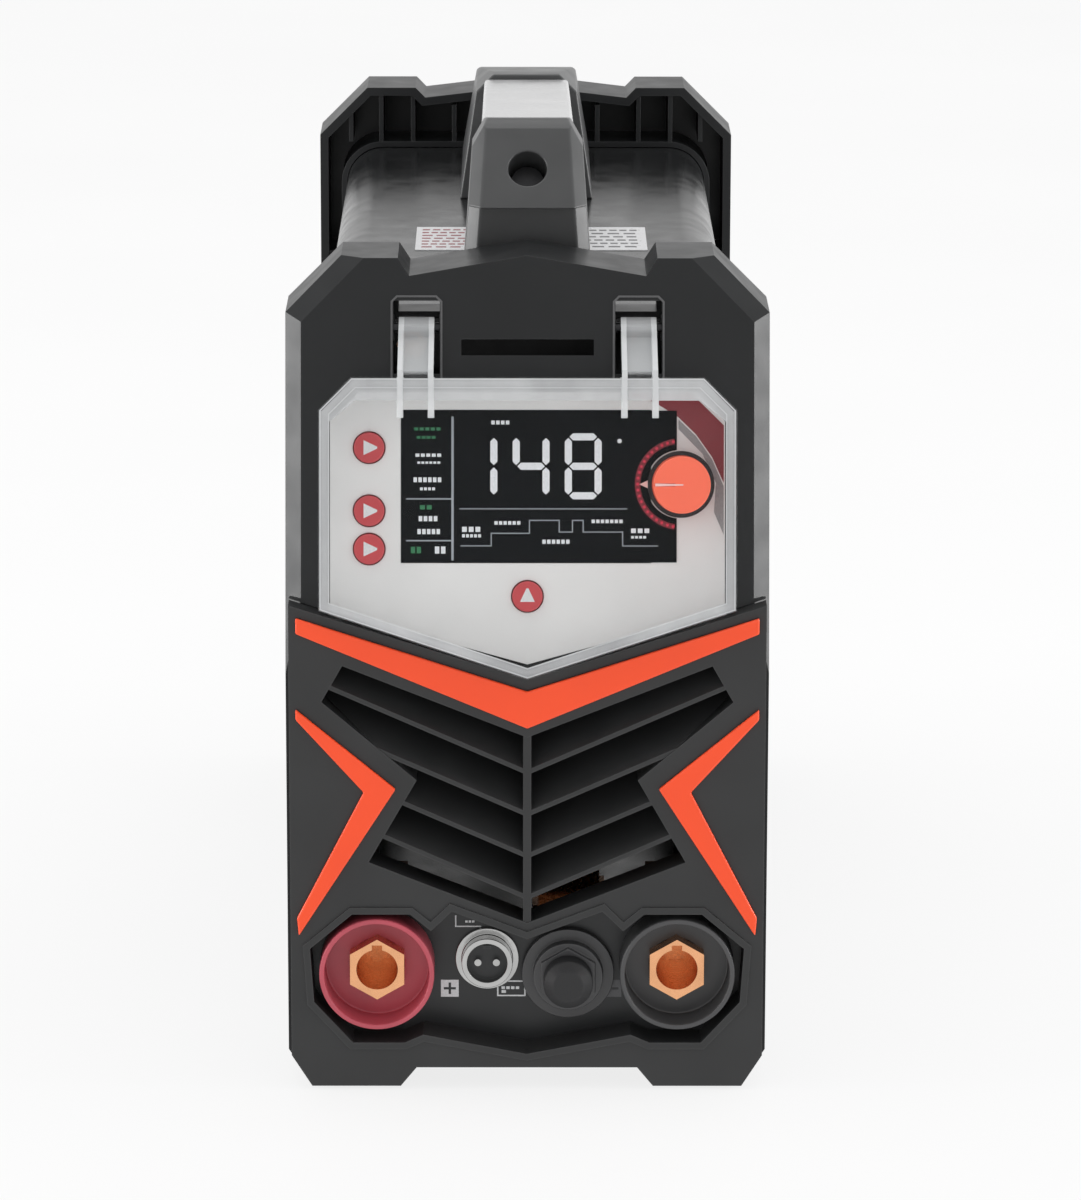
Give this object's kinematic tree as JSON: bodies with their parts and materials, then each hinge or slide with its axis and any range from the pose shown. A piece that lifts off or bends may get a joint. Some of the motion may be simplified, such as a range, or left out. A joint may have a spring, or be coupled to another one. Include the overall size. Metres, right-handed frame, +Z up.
{
  "type": "tig welding machine",
  "caption": "Portable inverter TIG welder: case with moulded ends, sheet cover, top handle, sloping display panel under a clear flip cover, and front weld sockets.",
  "frame": {"origin": "on the floor, under the middle of the bounding box", "axes": "+Z up, -Y out of the front panel, +X to the right seen from the front"},
  "size_m": [0.15, 0.427, 0.295],
  "materials": {
    "case_plastic": "satin",
    "panel_plastic": "matte",
    "orange_plastic": "satin",
    "silver_film": "satin",
    "display_black": "gloss",
    "clear_plastic": "gloss",
    "blackened_steel": "satin",
    "plated_steel": "satin",
    "knob_orange": "satin",
    "button_red": "satin",
    "black_resin": "satin",
    "board_green": "satin",
    "maroon_resin": "satin",
    "brass_metal": "machined",
    "chrome_metal": "polished",
    "black_rubber": "satin",
    "cover_paint": "gloss",
    "rocker_red": "gloss",
    "grip_plastic": "gloss",
    "label_film": "satin",
    "heatsink_aluminium": "extruded",
    "capacitor_sleeve": "gloss",
    "ferrite": "matte",
    "copper_metal": "lacquered"
  },
  "bodies": {
    "chassis": {"front_bezel": "case_plastic", "grille_panel": "panel_plastic", "chevron_trim_top": "orange_plastic", "chevron_trim_left": "orange_plastic", "chevron_trim_right": "orange_plastic", "control_overlay": "silver_film", "display_module": "display_black", "tact_switches": "black_resin", "control_board": "board_green", "encoder_body": "plated_steel", "hinge_pins": "blackened_steel", "connector_panel": "black_resin", "positive_socket_body": "maroon_resin", "positive_socket_insert": "brass_metal", "negative_socket_body": "black_resin", "negative_socket_insert": "brass_metal", "remote_connector_shell": "chrome_metal", "remote_connector_insert": "black_resin", "remote_connector_pins": "chrome_metal", "gas_outlet_fitting": "black_resin", "top_cover": "cover_paint", "base_tray": "cover_paint", "cover_screws": "plated_steel", "rear_bezel": "case_plastic", "rear_panel": "cover_paint", "fan_frame": "black_resin", "fan_guard": "plated_steel", "fan_screws": "plated_steel", "power_switch_case": "black_resin", "cable_gland": "black_resin", "gas_inlet_nozzle": "brass_metal", "earth_stud": "brass_metal", "handle_front_post": "case_plastic", "handle_grip": "grip_plastic", "handle_rear_post": "case_plastic", "handle_screws": "blackened_steel", "warning_label": "label_film", "rating_label": "label_film", "main_board": "board_green", "board_standoffs": "plated_steel", "heatsink_left": "heatsink_aluminium", "heatsink_right": "heatsink_aluminium", "power_devices": "black_resin", "bulk_capacitors": "capacitor_sleeve", "transformer_core": "ferrite", "transformer_coil": "copper_metal", "output_choke": "copper_metal", "bus_bars": "copper_metal", "gas_valve": "brass_metal", "gas_hoses": "black_rubber"},
    "flip_cover": {"flip_cover": "clear_plastic"},
    "encoder_knob": {"encoder_knob": "knob_orange", "encoder_shaft": "plated_steel"},
    "button_upper": {"button_upper": "button_red"},
    "button_middle": {"button_middle": "button_red"},
    "button_lower": {"button_lower": "button_red"},
    "button_centre": {"button_centre": "button_red"},
    "power_rocker": {"power_rocker": "rocker_red"},
    "fan_rotor": {"fan_rotor": "black_resin"},
    "gas_outlet_cap": {"gas_outlet_cap": "black_rubber"}
  },
  "joints": [
    {"name": "flip_cover_hinge", "type": "hinge", "parent": "chassis", "child": "flip_cover", "pos_m": [0, -0.16858, 0.23854], "axis": [-1, 0, 0], "range_deg": [0, 80]},
    {"name": "knob_turn", "type": "hinge", "parent": "chassis", "child": "encoder_knob", "pos_m": [0.0473, -0.18157, 0.19182], "axis": [0, -0.9781, 0.2079], "continuous": true},
    {"name": "button_upper_press", "type": "slide", "parent": "chassis", "child": "button_upper", "axis": [0, 0.9781, -0.2079], "range_m": [0, 0.0008], "stiffness_N_per_m": 600},
    {"name": "button_middle_press", "type": "slide", "parent": "chassis", "child": "button_middle", "axis": [0, 0.9781, -0.2079], "range_m": [0, 0.0008], "stiffness_N_per_m": 600},
    {"name": "button_lower_press", "type": "slide", "parent": "chassis", "child": "button_lower", "axis": [0, 0.9781, -0.2079], "range_m": [0, 0.0008], "stiffness_N_per_m": 600},
    {"name": "button_centre_press", "type": "slide", "parent": "chassis", "child": "button_centre", "axis": [0, 0.9781, -0.2079], "range_m": [0, 0.0008], "stiffness_N_per_m": 600},
    {"name": "power_rocker_tilt", "type": "hinge", "parent": "chassis", "child": "power_rocker", "pos_m": [-0.028, 0.18403, 0.196], "axis": [-1, 0, 0], "range_deg": [0, 18]},
    {"name": "fan_spin", "type": "hinge", "parent": "chassis", "child": "fan_rotor", "pos_m": [0, 0.17053, 0.088], "axis": [0, 1, 0], "continuous": true},
    {"name": "gas_cap_pull", "type": "slide", "parent": "chassis", "child": "gas_outlet_cap", "axis": [0, -1, 0], "range_m": [0, 0.02]}
  ]
}
